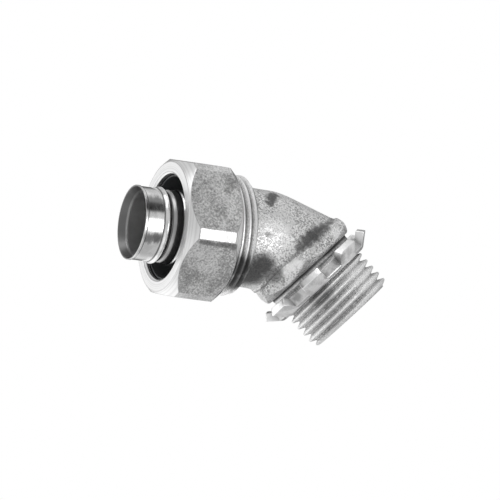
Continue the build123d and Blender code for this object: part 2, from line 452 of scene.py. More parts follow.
class Tree:
    """The nodes of one material or of the world."""

    def __init__(self, nodes_of: bpy.types.NodeTree) -> None:
        """Empties the tree."""
        self.nodes_of = nodes_of
        nodes_of.nodes.clear()

    def add(
        self,
        kind: str,
        settings: dict | None = None,
        inputs: dict | list | None = None,
        output: str | int = 0,
    ) -> Socket:
        """Adds one node.

        Args:
            kind: The node's type.
            settings: Its own settings, set before its sockets. Stops are a ramp's places and greys.
            inputs: Values or sockets, by name or in order.
            output: The output that is wanted.

        Returns:
            The output, ready for arithmetic.
        """
        node = self.nodes_of.nodes.new(kind)
        settings = dict(settings or {})
        stops = settings.pop("stops", None)
        for name, value in settings.items():
            setattr(node, name, value)
        if stops:
            ramp = node.color_ramp
            while len(ramp.elements) < len(stops):
                ramp.elements.new(1.0)
            for element, (place, grey) in zip(ramp.elements, stops):
                element.position = place
                element.color = (grey, grey, grey, 1)
        pairs = inputs.items() if isinstance(inputs, dict) else enumerate(inputs or [])
        for key, value in pairs:
            if isinstance(value, Socket):
                self.nodes_of.links.new(value.end, node.inputs[key])
            else:
                node.inputs[key].default_value = value
        return Socket(self, node.outputs[output] if node.outputs else None)

    def place(self) -> Socket:
        """Returns the point on the piece, in millimetres."""
        spot = self.add("ShaderNodeTexCoord", output="Object")
        return self.add("ShaderNodeVectorMath", {"operation": "SCALE"}, {0: spot, "Scale": 1 / MM})

    def mark(self, name: str) -> Socket:
        """Returns a mark that the mesh carries."""
        return self.add("ShaderNodeAttribute", {"attribute_name": name}, output="Fac")

    def noise(self, where: Socket, grain: "Grain") -> Socket:
        """Adds noise in space.

        Args:
            where: The point, in millimetres.
            grain: The kind of noise.

        Returns:
            The noise, from 0 to 1.
        """
        return self.add(
            "ShaderNodeTexNoise",
            inputs={
                "Vector": where,
                "Scale": 1 / grain.size,
                "Detail": grain.detail,
                "Roughness": grain.roughness,
            },
        )

    def stretch(self, where: Socket, direction: tuple[float, float, float], factor: float) -> Socket:
        """Pulls the point along a direction, so that noise on it is drawn out the other way.

        The point p becomes p + factor * (p . direction) * direction.

        Args:
            where: The point, in millimetres.
            direction: The direction, of length one.
            factor: How far it is pulled.

        Returns:
            The pulled point.
        """
        run = self.add("ShaderNodeVectorMath", {"operation": "DOT_PRODUCT"}, [where, direction], "Value")
        push = self.add(
            "ShaderNodeVectorMath",
            {"operation": "SCALE"},
            {0: direction, "Scale": run * factor},
        )
        return self.add("ShaderNodeVectorMath", {"operation": "ADD"}, [where, push])

    def rings(self, where: Socket, axis: Axis, width: float) -> Socket:
        """Adds noise that changes only with the distance from an axis, as lathe marks do.

        The distance is the root of |p - origin|^2 - ((p - origin) . axis)^2.

        Args:
            where: The point, in millimetres.
            axis: The lathe's axis.
            width: Usual width of a ring.

        Returns:
            The noise, from 0 to 1.
        """
        arm = self.add("ShaderNodeVectorMath", {"operation": "SUBTRACT"}, [where, axis.origin])
        whole = self.add("ShaderNodeVectorMath", {"operation": "DOT_PRODUCT"}, [arm, arm], "Value")
        along = self.add("ShaderNodeVectorMath", {"operation": "DOT_PRODUCT"}, [arm, axis.along], "Value")
        distance = (whole - along * along) ** 0.5
        return self.add(
            "ShaderNodeTexNoise",
            {"noise_dimensions": "1D"},
            {"W": distance, "Scale": 1 / width, "Detail": 2.0},
        )

    def between(self, value: Socket, low: float, high: float) -> Socket:
        """Turns a value into a mask: 0 below low, 1 above high, and 3x^2 - 2x^3 between them.

        Args:
            value: The value.
            low: Where the rise starts.
            high: Where it ends.

        Returns:
            The mask.
        """
        return self.add(
            "ShaderNodeMapRange",
            {"interpolation_type": "SMOOTHSTEP"},
            {"Value": value, "From Min": low, "From Max": high},
        )

    def patches(self, where: Socket, painted_patches: Sequence["Stain"], ragged: Socket) -> Socket:
        """Finds the strongest of several painted patches of light and shade at a point.

        A patch's share falls smoothly from its strength to nought as (distance from its centre +
        ragged_reach * (ragged - 0.5)) / radius goes from its core to its edge.

        Args:
            where: The point, in millimetres.
            painted_patches: The patches of painted light and shade.
            ragged: Noise from 0 to 1 that eats into their edges.

        Returns:
            The share of the patches' painted colour, from 0 to 1.
        """
        total = None
        for painted_patch in painted_patches:
            ends = [where, painted_patch.centre]
            away = self.add("ShaderNodeVectorMath", {"operation": "DISTANCE"}, ends, "Value")
            away = (away + (ragged - 0.5) * painted_patch.ragged_reach) / painted_patch.radius
            share = (1 - self.between(away, painted_patch.core, painted_patch.edge)) * painted_patch.strength
            if total is None:
                total = share
            else:
                total = self.add("ShaderNodeMath", {"operation": "MAXIMUM"}, [total, share])
        return total

    def blend(self, share: Value, first: Value, second: Value) -> Socket:
        """Mixes two colours: first * (1 - share) + second * share.

        Args:
            share: The share, held between 0 and 1.
            first: The colour where it is 0.
            second: The colour where it is 1.

        Returns:
            The colour.
        """
        return self.add(
            "ShaderNodeMix",
            {"data_type": "RGBA", "clamp_factor": True},
            {0: share, 6: first, 7: second},
            output=2,
        )

    def greys(self, share: Socket, levels: tuple[float, float], blue: float = 0.0) -> Socket:
        """Returns a grey that goes from the first level to the second with the share."""
        return self.blend(share, grey(levels[0], blue), grey(levels[1], blue))

    def coat(self, share: Socket, colour: Socket, level: float) -> Socket:
        """Returns a colour with a grey laid over it by a share."""
        return self.blend(share, colour, grey(level))

    def bump(self, height: Socket, depth: float) -> Socket:
        """Returns a normal for a height from 0 to 1 that stands for a depth in millimetres."""
        values = {"Height": height, "Distance": depth * MM, "Strength": 1.0}
        return self.add("ShaderNodeBump", inputs=values)

    def skin(self, colour: Socket, roughness: Socket, normal: Socket, metallic: float = 1.0) -> Socket:
        """Returns the shader of a surface with a colour, a roughness and a relief, metal or not."""
        values = {"Base Color": colour, "Metallic": metallic, "Roughness": roughness, "Normal": normal}
        return self.add("ShaderNodeBsdfPrincipled", inputs=values)


Colour = tuple[float, float, float, float]


@dataclass(frozen=True)
class Grain:
    """A kind of noise: its blots' usual size in millimetres, its octaves and how strong these are."""

    size: float
    detail: float = 2.0
    roughness: float = 0.5


@dataclass(frozen=True)
class Stain:
    """A ragged patch around a point of the part where light or shade is painted: painted shade and
    shadow, a painted dark reflection, a painted highlight.

    Core and edge are shares of the radius. Ragged_reach is how far noise moves the edge, in millimetres.
    """

    centre: tuple[float, float, float]
    radius: float
    strength: float
    core: float = 0.45
    edge: float = 1.25
    ragged_reach: float = 2.0


def grey(level: float, blue: float = 0.0) -> Colour:
    """Returns a grey with a touch of blue."""
    return (level * (1 - blue), level, level * (1 + blue), 1.0)


def rise(pair: tuple[float, float], mask: Socket) -> Socket:
    """Returns the pair's first value plus its second value times a mask."""
    return pair[0] + pair[1] * mask


class Slot(Enum):
    """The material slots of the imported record."""

    CASTING = "plated_casting"
    BAR = "plated_bar"
    BRIGHT = "bright_steel"
    STAMPING = "plated_stamping"
    NYLON = "sealing_nylon"


@dataclass(frozen=True)
class Finish:
    """What every finish shares: a name, a slot, and the way that it is put on a piece.

    In the finishes a level is a grey from 0 to 1, a size, a width or a depth is in millimetres, and a
    range is where a mask made from noise starts and ends. A share is how much of a colour is laid over
    what is under it. A pair of shares holds the usual one and what a mask adds to it.
    """

    name: str
    slot: Slot

    def dress(self, piece: bpy.types.Object) -> None:
        """Puts the finish on a piece.

        Args:
            piece: The mesh object to dress.
        """
        material = bpy.data.materials.new(self.name)
        material.use_nodes = True
        tree = Tree(material.node_tree)
        surface = self.surface(tree)
        tree.add("ShaderNodeOutputMaterial", inputs={"Surface": surface})
        piece.data.materials.clear()
        piece.data.materials.append(material)

    def surface(self, tree: Tree) -> Socket:
        """Builds the shader. Each finish has its own."""
        raise NotImplementedError


@dataclass(frozen=True)
class CastZinc(Finish):
    """Zinc over malleable iron: pale and speckled where it was cast, smoother where a tool has cut it."""

    name: str = "zinc_plated_casting"
    slot: Slot = Slot.CASTING
    levels: tuple[float, float] = (0.76, 0.95)
    # dark grey of the specks, also the grey of the painted shade and shadow patches
    pit_and_shade: float = 0.10
    smear: float = 0.45
    # grey of the painted highlights
    painted_highlight: float = 0.98
    # grey of the painted shade in hollows and thread roots
    painted_shade: float = 0.06
    crest: float = 0.95
    # grey of the painted shade on hidden walls
    inside_shade: float = 0.08
    speck_grain: Grain = Grain(0.40, 2.0, 0.7)
    cloud_grain: Grain = Grain(2.4)
    ragged_grain: Grain = Grain(1.1, 3.0, 0.65)
    smear_grain: Grain = Grain(1.3, 2.0, 0.6)
    cloud_range: tuple[float, float] = (0.35, 0.65)
    speck_range: tuple[float, float] = (0.60, 0.88)
    smear_range: tuple[float, float] = (0.5, 0.7)
    cloud_weight: float = 0.4
    specks_lost: float = 0.8
    speck_share: tuple[float, float] = (0.35, 0.35)
    smear_share: float = 0.3
    shade_share: tuple[float, float] = (0.5, 0.2)
    wear_share: tuple[float, float] = (0.2, 0.6)
    inside_shade_share: float = 0.7
    roughness: float = 0.48
    speck_roughness: float = 0.12
    hidden_roughness: float = 0.1
    pit_relief: tuple[float, float] = (0.25, 0.75)
    cloud_relief: float = 0.5
    relief_depth: float = 0.08
    # painted shade and shadow: under the collar, in the corner by the flange, on the neck's top, by the
    # locknut
    painted_patches: tuple[Stain, ...] = (
        Stain((-0.9, 7.9, 16.6), 1.3, 0.85),
        Stain((0.2, 8.6, 16.4), 1.3, 0.9),
        Stain((1.4, 9.3, 16.1), 1.4, 0.9),
        Stain((2.6, 9.8, 15.8), 1.2, 0.85),
        Stain((8.6, 10.2, 11.2), 0.8, 0.5),
        Stain((4.9, 10.8, 4.7), 1.5, 0.8),
        Stain((3.2, 11.3, 4.6), 1.8, 0.9),
        Stain((1.5, 11.6, 4.5), 2.0, 0.95),
        Stain((-0.4, 11.7, 4.5), 1.9, 0.9),
        Stain((-2.4, 11.6, 4.3), 1.6, 0.8),
        Stain((-4.8, 10.7, 4.1), 1.0, 0.6),
        Stain((12.6, 5.8, 7.2), 3.6, 0.95),
        Stain((14.6, 3.2, 7.4), 4.4, 0.95),
        Stain((10.8, 4.6, 4.6), 2.8, 0.75),
        Stain((17.0, 6.8, 10.2), 3.4, 0.9),
        Stain((17.9, 3.2, 8.4), 3.4, 0.85),
        Stain((7.6, 7.2, -5.6), 3.4, 0.4),
    )
    # painted highlights where light falls on the flange, the neck and the hub
    painted_highlights: tuple[Stain, ...] = (
        Stain((7.9, 9.8, 2.7), 1.5, 0.9),
        Stain((8.8, 8.2, 2.8), 1.5, 1.0),
        Stain((9.5, 6.9, 2.8), 1.3, 0.9),
        Stain((-3.4, 11.7, 1.8), 1.5, 0.6),
        Stain((8.0, 10.4, 10.4), 4.4, 0.62),
        Stain((-2.6, 9.6, -8.6), 4.6, 0.9),
    )

    def surface(self, tree: Tree) -> Socket:
        """Scatters dark specks over a pale zinc, paints highlights, shade and shadow on it, and rubs the
        crests bright.

        Clouds mix the two levels. Over them lie, in order and each by its share: specks, where grain +
        cloud_weight * clouds is high, smears on cut walls, painted highlights, painted shade in hollows and
        roots, crests, painted shade and shadow patches, and painted shade on hidden walls. Specks are pits
        in the relief, fewer by specks_lost on hidden walls, and clouds swell it where it was cast.

        Args:
            tree: The material's nodes.

        Returns:
            The shader.
        """
        where = tree.place()
        cut, inside = tree.mark("cut"), tree.mark("inside")
        cast = 1 - cut
        grain = tree.noise(where, self.speck_grain)
        clouds = tree.noise(where, self.cloud_grain)
        specks = tree.between(grain + self.cloud_weight * clouds, *self.speck_range)
        specks = specks * (1 - self.specks_lost * inside)
        ragged = tree.noise(where, self.ragged_grain)
        smears = tree.between(tree.noise(where, self.smear_grain), *self.smear_range)
        colour = tree.greys(tree.between(clouds, *self.cloud_range), self.levels)
        colour = tree.coat(specks * rise(self.speck_share, cast), colour, self.pit_and_shade)
        colour = tree.coat(smears * cut * self.smear_share, colour, self.smear)
        # painted highlights
        colour = tree.coat(tree.patches(where, self.painted_highlights, ragged), colour, self.painted_highlight)
        # painted shade in hollows, thread roots and the gap by the flange
        colour = tree.coat(tree.mark("shade") * rise(self.shade_share, cut), colour, self.painted_shade)
        colour = tree.coat(tree.mark("wear") * rise(self.wear_share, cut), colour, self.crest)
        # painted shade and shadow patches
        colour = tree.coat(tree.patches(where, self.painted_patches, ragged), colour, self.pit_and_shade)
        # painted shade on hidden walls
        colour = tree.coat(inside * self.inside_shade_share, colour, self.inside_shade)
        roughness = self.roughness + self.speck_roughness * specks + self.hidden_roughness * inside
        height = (1 - specks) * rise(self.pit_relief, cast) + self.cloud_relief * clouds * cast
        return tree.skin(colour, roughness, tree.bump(height, self.relief_depth))


@dataclass(frozen=True)
class BarZinc(Finish):
    """Zinc over drawn hexagonal bar: a fine grain on the flats, and brighter where it was turned."""

    name: str = "zinc_plated_bar"
    slot: Slot = Slot.BAR
    flat_levels: tuple[float, float] = (0.324, 0.936)
    turned_levels: tuple[float, float] = (0.7396, 0.86)
    worn: float = 0.25
    # grey of the painted shade in hollows, roots and along the flats' front half
    painted_shade: float = 0.12
    # grey of the painted shadow line
    painted_patch: float = 0.12
    # grey of the painted shade on hidden walls
    inside_shade: float = 0.06
    fine_grain: Grain = Grain(0.42, 3.0, 0.7)
    cloud_grain: Grain = Grain(4.5, 3.0, 0.55)
    ring_width: float = 0.35
    flat_range: tuple[float, float] = (0.58, 1.02)
    turned_range: tuple[float, float] = (0.3, 0.6)
    cloud_weight: float = 0.6
    wear_share: tuple[float, float] = (0.3, 0.3)
    shade_share: float = 0.7
    inside_shade_share: float = 0.85
    raggedness: tuple[float, float] = (0.25, 0.5)
    roughness: float = 0.46
    turned_polish: float = 0.18
    fine_roughness: float = 0.08
    turned_relief: float = 0.85
    ring_relief: float = 0.15
    relief_depth: float = 0.05
    # painted shadow line along the lower edge of one turned corner
    painted_patches: tuple[Stain, ...] = tuple(
        Stain((18.7 + 0.5 * step, 12.95, 13.9 + 0.5 * step), 0.65, 0.65) for step in range(12)
    )

    def surface(self, tree: Tree) -> Socket:
        """Mixes the drawn and the turned zinc by the cut mark, with grain on one and rings on the other.

        The drawn level follows fine + cloud_weight * clouds, and the turned one follows the rings.
        Over them lie wear, painted shade in hollows, a painted shadow line along one turned corner and
        painted shade on hidden walls.

        Args:
            tree: The material's nodes.

        Returns:
            The shader.
        """
        where = tree.place()
        cut = tree.mark("cut")
        fine = tree.noise(where, self.fine_grain)
        clouds = tree.noise(where, self.cloud_grain)
        rings = tree.rings(where, LEG, self.ring_width)
        level = tree.between(fine + self.cloud_weight * clouds, *self.flat_range)
        drawn = tree.greys(level, self.flat_levels)
        turned = tree.greys(tree.between(rings, *self.turned_range), self.turned_levels)
        colour = tree.blend(cut, drawn, turned)
        colour = tree.coat(tree.mark("wear") * rise(self.wear_share, cut), colour, self.worn)
        # painted shade in hollows and thread roots
        colour = tree.coat(tree.mark("shade") * self.shade_share, colour, self.painted_shade)
        # painted shadow line
        shadow_line = tree.patches(where, self.painted_patches, rise(self.raggedness, clouds))
        colour = tree.coat(shadow_line, colour, self.painted_patch)
        # painted shade on hidden walls
        colour = tree.coat(tree.mark("inside") * self.inside_shade_share, colour, self.inside_shade)
        roughness = self.roughness - self.turned_polish * cut + self.fine_roughness * fine
        height = fine * (1 - self.turned_relief * cut) + self.ring_relief * rings * cut
        return tree.skin(colour, roughness, tree.bump(height, self.relief_depth))


@dataclass(frozen=True)
class BrightSteel(Finish):
    """Drawn steel tube, burnished outside, with fine rings around it and a dull bore."""

    name: str = "bright_drawn_steel"
    slot: Slot = Slot.BRIGHT
    levels: tuple[float, float] = (0.74, 0.92)
    # shank levels, painted darker as shade inside the nut
    shadowed_shank_levels: tuple[float, float] = (0.3, 0.52)
    bore_levels: tuple[float, float] = (0.66, 0.84)
    # grey of the painted dark reflections
    dark_reflection: float = 0.16
    # grey of the painted shade in the mouth and hollow corners
    painted_shade: float = 0.06
    ring_grain: Grain = Grain(3.4, 2.0, 0.55)
    cloud_grain: Grain = Grain(1.9)
    ragged_grain: Grain = Grain(1.6, 2.0, 0.6)
    ring_stretch: float = 14.0
    ragged_stretch: float = 2.0
    cloud_range: tuple[float, float] = (0.35, 0.7)
    shade_share: float = 0.85
    roughness: float = 0.09
    ring_roughness: float = 0.1
    cloud_roughness: float = 0.05
    shank_roughness: float = 0.14
    bore_roughness: float = 0.18
    relief_depth: float = 0.012
    # painted dark reflections on the band by the tip
    dark_reflections: tuple[Stain, ...] = (
        Stain((23.6, 7.9, 32.8), 2.3, 0.85),
        Stain((21.9, 7.6, 31.8), 2.1, 0.85),
        Stain((28.2, 5.3, 27.4), 1.3, 0.7),
        Stain((26.9, 5.6, 26.5), 1.4, 0.8),
    )

    def surface(self, tree: Tree) -> Socket:
        """Draws noise out around the leg for the burnishing, paints dark reflections near the tip, paints
        the shank darker as shade inside the nut, and dulls the bore.

        Clouds mix the levels of each of the three walls, which the cut and the inside marks tell apart.
        The roughness is a sum of the noises and the marks, each times its own factor.

        Args:
            tree: The material's nodes.

        Returns:
            The shader.
        """
        where = tree.place()
        inside, shank = tree.mark("inside"), tree.mark("cut")
        rings = tree.noise(tree.stretch(where, LEG.along, self.ring_stretch), self.ring_grain)
        clouds = tree.noise(where, self.cloud_grain)
        colour = tree.greys(tree.between(clouds, *self.cloud_range), self.levels)
        ragged = tree.noise(tree.stretch(where, LEG.along, self.ragged_stretch), self.ragged_grain)
        # painted dark reflections
        colour = tree.coat(tree.patches(where, self.dark_reflections, ragged), colour, self.dark_reflection)
        # the shank, painted darker as shade inside the nut
        colour = tree.blend(shank, colour, tree.greys(clouds, self.shadowed_shank_levels))
        colour = tree.blend(inside, colour, tree.greys(clouds, self.bore_levels))
        # painted shade in the mouth and the hollow corners
        colour = tree.coat(tree.mark("shade") * self.shade_share, colour, self.painted_shade)
        roughness = self.roughness + self.ring_roughness * rings + self.cloud_roughness * clouds
        roughness = roughness + self.shank_roughness * shank + self.bore_roughness * inside
        return tree.skin(colour, roughness, tree.bump(rings, self.relief_depth))


@dataclass(frozen=True)
class StampedZinc(Finish):
    """Zinc over stamped steel: smooth faces with scuffs, and bright ends where the press has sheared it."""

    name: str = "zinc_plated_stamping"
    slot: Slot = Slot.STAMPING
    levels: tuple[float, float] = (0.7, 0.98)
    scuff: float = 0.2
    # grey of the painted shade in hollows and slots
    painted_shade: float = 0.12
    sheared: float = 0.95
    worn: float = 0.92
    # grey of the painted shade patches
    painted_patch: float = 0.14
    fine_grain: Grain = Grain(0.45, 3.0, 0.65)
    cloud_grain: Grain = Grain(2.2)
    scuff_grain: Grain = Grain(1.8, 3.0, 0.6)
    ragged_grain: Grain = Grain(0.8, 3.0, 0.65)
    scuff_direction: tuple[float, float, float] = (0.6, 0.8, 0.0)
    scuff_stretch: float = 5.0
    level_range: tuple[float, float] = (0.50, 0.88)
    scuff_range: tuple[float, float] = (0.6, 0.75)
    fine_weight: float = 0.5
    scuff_share: float = 0.3
    shade_share: float = 0.45
    sheared_share: float = 0.9
    wear_share: float = 0.6
    roughness: tuple[float, float] = (0.28, 0.16)
    scuff_relief: float = 0.5
    relief_depth: float = 0.05
    # painted shade in the slots between the lugs
    painted_patches: tuple[Stain, ...] = (
        Stain((1.2, 12.7, -2.7), 1.7, 0.6),
        Stain((10.9, 5.6, -2.8), 1.2, 0.6),
        Stain((5.5, 11.2, -3.4), 1.0, 0.45),
    )

    def surface(self, tree: Tree) -> Socket:
        """Mixes two zincs by noise, drags scuffs over them, paints shade into hollows and slots and
        brightens sheared ends.

        The level follows clouds + fine_weight * fine. Over it lie scuffs, drawn out across their
        direction, painted shade in hollows and slots, sheared ends, wear and patches of painted shade.

        Args:
            tree: The material's nodes.

        Returns:
            The shader.
        """
        where = tree.place()
        fine = tree.noise(where, self.fine_grain)
        clouds = tree.noise(where, self.cloud_grain)
        scuffs = tree.noise(tree.stretch(where, self.scuff_direction, self.scuff_stretch), self.scuff_grain)
        level = tree.between(clouds + self.fine_weight * fine, *self.level_range)
        colour = tree.greys(level, self.levels)
        colour = tree.coat(tree.between(scuffs, *self.scuff_range) * self.scuff_share, colour, self.scuff)
        # painted shade in hollows and slots
        colour = tree.coat(tree.mark("shade") * self.shade_share, colour, self.painted_shade)
        colour = tree.coat(tree.mark("cut") * self.sheared_share, colour, self.sheared)
        colour = tree.coat(tree.mark("wear") * self.wear_share, colour, self.worn)
        ragged = tree.noise(where, self.ragged_grain)
        # painted shade patches
        colour = tree.coat(tree.patches(where, self.painted_patches, ragged), colour, self.painted_patch)
        roughness = rise(self.roughness, fine)
        height = fine + self.scuff_relief * scuffs
        return tree.skin(colour, roughness, tree.bump(height, self.relief_depth))


@dataclass(frozen=True)
class DarkNylon(Finish):
    """Moulded nylon, almost black, with the fine matt texture of its mould."""

    name: str = "dark_nylon"
    slot: Slot = Slot.NYLON
    levels: tuple[float, float] = (0.022, 0.045)
    blue: float = 0.06
    texture_grain: Grain = Grain(0.22)
    roughness: tuple[float, float] = (0.42, 0.2)
    relief_depth: float = 0.02

    def surface(self, tree: Tree) -> Socket:
        """Adds a fine mould texture to a dark plastic.

        Its noise mixes the two levels, and raises the roughness and the relief.

        Args:
            tree: The material's nodes.

        Returns:
            The shader.
        """
        texture = tree.noise(tree.place(), self.texture_grain)
        colour = tree.greys(texture, self.levels, self.blue)
        roughness = rise(self.roughness, texture)
        return tree.skin(colour, roughness, tree.bump(texture, self.relief_depth), metallic=0.0)


# Pieces


@dataclass
class Casting:
    """The body: hub thread, hexagonal flange, bent neck and collar thread, bored through.

    Neck_foot holds two radii and neck_start two heights on the leg, for the bend's outer side and its
    inner side. Cast_from and cast_to are the stations where the wavering skin starts and ends.
    Stop_shade is the painted shade between the thread's stop and the flange, in the gap under the
    locknut, hub_cut how far the hub's thread looks cut by a tool, and mouth_inside how far the collar's
    mouth counts as hidden, which the finish paints dark as shade. Corner_step is the angle to the
    columns beside each corner of the flange.
    """

    hub_radius: float = 10.45
    hub_length: float = 13.7
    hub_pitch: float = 1.814
    hub_depth: float = 1.28
    hub_end_chamfer: float = 0.9
    hub_runout: float = 1.2
    hub_phase: float = 0.17
    # painted shade in the hub thread's roots
    hub_root_shade: float = 0.4
    hub_cut: float = 0.6
    thread_stop: float = 0.9
    flange_flat: float = 11.7
    flange_corner: float = 13.51
    flange_face: float = 11.2
    flange_height: float = 4.1
    flange_chamfer_rise: float = 1.95
    flange_shoulder: float = 11.6
    flange_shoulder_rise: float = 1.4
    flange_rounding: float = 0.4
    neck_radius: float = 10.7
    neck_foot: tuple[float, float] = (10.95, 12.3)
    neck_start: tuple[float, float] = (3.7, 6.4)
    collar_start: float = 11.8
    collar_end: float = 23.0
    collar_radius: float = 13.0
    collar_chamfer: float = 0.8
    collar_pitch: float = 1.411
    collar_depth: float = 0.86
    collar_phase: float = 0.3
    cone_mouth: float = 11.85
    cone_foot: float = 21.614
    counterbore: float = 11.05
    seat: float = 19.4
    leg_bore: float = 7.3
    hub_bore: float = 7.9
    hub_mouth_chamfer: float = 0.7
    sweep_radius: float = 9.0
    outside_rounding: tuple[float, ...] = (0, 0.25, 0.2, 0.3, 0.4, 1.1, 2.4, 0.7, 0)
    mouth_rounding: tuple[float, ...] = (0, 0.12, 0.15, 0.2, 0.15, 0)
    hub_rounding: tuple[float, ...] = (0, 0.2, 0.12, 0)
    cast_from: float = 0.8
    cast_to: float = 6.7
    waver_height: float = 0.03
    waver_length: float = 5.0
    # painted shadow in the gap under the locknut
    stop_shade: float = 1.35
    # share of the hidden walls' painted shade on the collar's mouth
    mouth_inside: float = 0.6
    bend_rings: int = 14
    corner_step: float = 0.02
    columns: int = 228
    finish: Finish = field(default_factory=CastZinc)

    def threads(self) -> tuple[Thread, Thread]:
        """Sets out both threads.

        Returns:
            The hub's thread and the collar's thread.
        """
        hub = Thread(
            radius=self.hub_radius,
            depth=self.hub_depth,
            pitch=self.hub_pitch,
            start=-self.hub_length,
            end=-self.thread_stop,
            start_radius=self.hub_radius - self.hub_end_chamfer,
            end_runout=self.hub_runout,
            phase=self.hub_phase,
            painted_shade=self.hub_root_shade,
        )
        collar = Thread(
            radius=self.collar_radius,
            depth=self.collar_depth,
            pitch=self.collar_pitch,
            start=self.collar_start,
            end=self.collar_end,
            start_radius=self.collar_radius - self.collar_chamfer,
            end_radius=self.collar_radius - self.collar_chamfer,
            phase=self.collar_phase,
        )
        return hub, collar

    def outside(self, angles: np.ndarray, collar: Thread) -> Band:
        """Draws the flange and the neck.

        Up from the hub thread each column's profile goes out over the flange's face, up its turned
        corners and its flat, in over its sloping shoulder to the foot of the neck, along a straight line
        to the slanting ring where the leg starts, and along the leg to the collar. What differs between
        the bend's inner and outer side goes from one to the other with (1 + cos(angle)) / 2.

        Args:
            angles: Column angles.
            collar: The thread that the profile ends at.

        Returns:
            The band from the hub thread to the collar thread.
        """
        side = hexagon(angles, self.flange_flat, 0.0, self.flange_rounding)
        chamfer = self.flange_chamfer_rise / (self.flange_corner - self.flange_face)
        slope = self.flange_shoulder_rise / (self.flange_corner - self.flange_shoulder)
        inner = (1 + np.cos(angles)) / 2
        foot = self.neck_foot[0] + (self.neck_foot[1] - self.neck_foot[0]) * inner
        foot_height = self.flange_height - np.maximum(foot - self.flange_shoulder, 0) * slope
        neck = self.neck_start[0] + (self.neck_start[1] - self.neck_start[0]) * inner
        corners = [
            HUB.place(-self.thread_stop, self.hub_radius, angles),
            HUB.place(0.0, self.hub_radius, angles),
            HUB.place(0.0, self.flange_face, angles),
            HUB.place((side - self.flange_face) * chamfer, side, angles),
            HUB.place(self.flange_height - (side - self.flange_shoulder) * slope, side, angles),
            HUB.place(foot_height, foot, angles),
            LEG.place(neck, self.neck_radius, angles),
            LEG.place(self.collar_start, self.neck_radius, angles),
            LEG.place(self.collar_start, collar.wall(self.collar_start, angles), angles),
        ]
        band = ease(corners, self.outside_rounding, steps=6)
        as_cast = (band.station > self.cast_from) & (band.station < self.cast_to)
        wavering = waver(band.points, self.waver_height, self.waver_length)
        band.points = np.where(as_cast[..., None], wavering, band.points)
        # painted shadow from the thread's stop to the flange face, in the gap under the locknut
        by_stop = band.station <= 1 + CURVE_REACH
        band.cut = np.where(by_stop, 1.0, 0.0)
        band.shade = np.where(by_stop, self.stop_shade, band.shade)
        return band

    def bore(self, angles: np.ndarray, hub: Thread, collar: Thread) -> list[Band]:
        """Draws the inside, from the collar's end to the hub's end.

        Around the bend, rings of the bore's radius turn about a point at the sweep radius from the axis,
        on the inner side. They start and end at sweep_radius * tan(bend / 2) from the bend's middle.

        Args:
            angles: Column angles.
            hub: The hub's thread, where the bore ends.
            collar: The collar's thread, where it starts.

        Returns:
            The bands, in order.
        """
        reach = self.sweep_radius * tan(BEND_ANGLE / 2)
        leg_part = ease(
            [
                LEG.place(self.collar_end, collar.wall(self.collar_end, angles), angles),
                LEG.place(self.collar_end, self.cone_mouth, angles),
                LEG.place(self.cone_foot, self.counterbore, angles),
                LEG.place(self.seat, self.counterbore, angles),
                LEG.place(self.seat, self.leg_bore, angles),
                LEG.place(reach, self.leg_bore, angles),
            ],
            self.mouth_rounding,
            steps=3,
            cut=1.0,
            # the collar's mouth gets part of the painted shade of hidden walls
            inside=self.mouth_inside,
        )
        rings = []
        for share in np.linspace(0, 1, self.bend_rings):
            turn = BEND_ANGLE * (1 - share)
            across = (cos(turn), 0.0, -sin(turn))
            centre = (
                self.sweep_radius * (1 - cos(turn)),
                0.0,
                BEND_HEIGHT - reach + self.sweep_radius * sin(turn),
            )
            radius = self.leg_bore + (self.hub_bore - self.leg_bore) * share
            rings.append(Axis(centre, across, (sin(turn), 0.0, cos(turn))).place(0.0, radius, angles))
        hub_part = ease(
            [
                HUB.place(BEND_HEIGHT - reach, self.hub_bore, angles),
                HUB.place(self.hub_mouth_chamfer - self.hub_length, self.hub_bore, angles),
                HUB.place(-self.hub_length, self.hub_bore + self.hub_mouth_chamfer, angles),
                HUB.place(-self.hub_length, hub.wall(-self.hub_length, angles), angles),
            ],
            self.hub_rounding,
            steps=3,
            cut=1.0,
        )
        # the hub's mouth chamfer counts as hidden and is painted dark as shade
        hub_part.inside = hub_part.station <= 1 + CURVE_REACH
        return [leg_part, Band(np.stack(rings), inside=1.0), hub_part]

    def build(self) -> bpy.types.Object:
        """Sews the casting and dresses it.

        Returns:
            The piece, riding on the casting.
        """
        both = (-self.corner_step, self.corner_step)
        angles = around(self.columns, [corner * pi / 3 + step for corner in range(6) for step in both])
        hub, collar = self.threads()
        bands = [
            hub.band(HUB, angles, cut=self.hub_cut),
            self.outside(angles, collar),
            collar.band(LEG, angles, cut=1.0),
            *self.bore(angles, hub, collar),
        ]
        piece = sew("body_casting", bands)
        self.finish.dress(piece)
        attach(piece, "casting")
        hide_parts("body")
        return piece


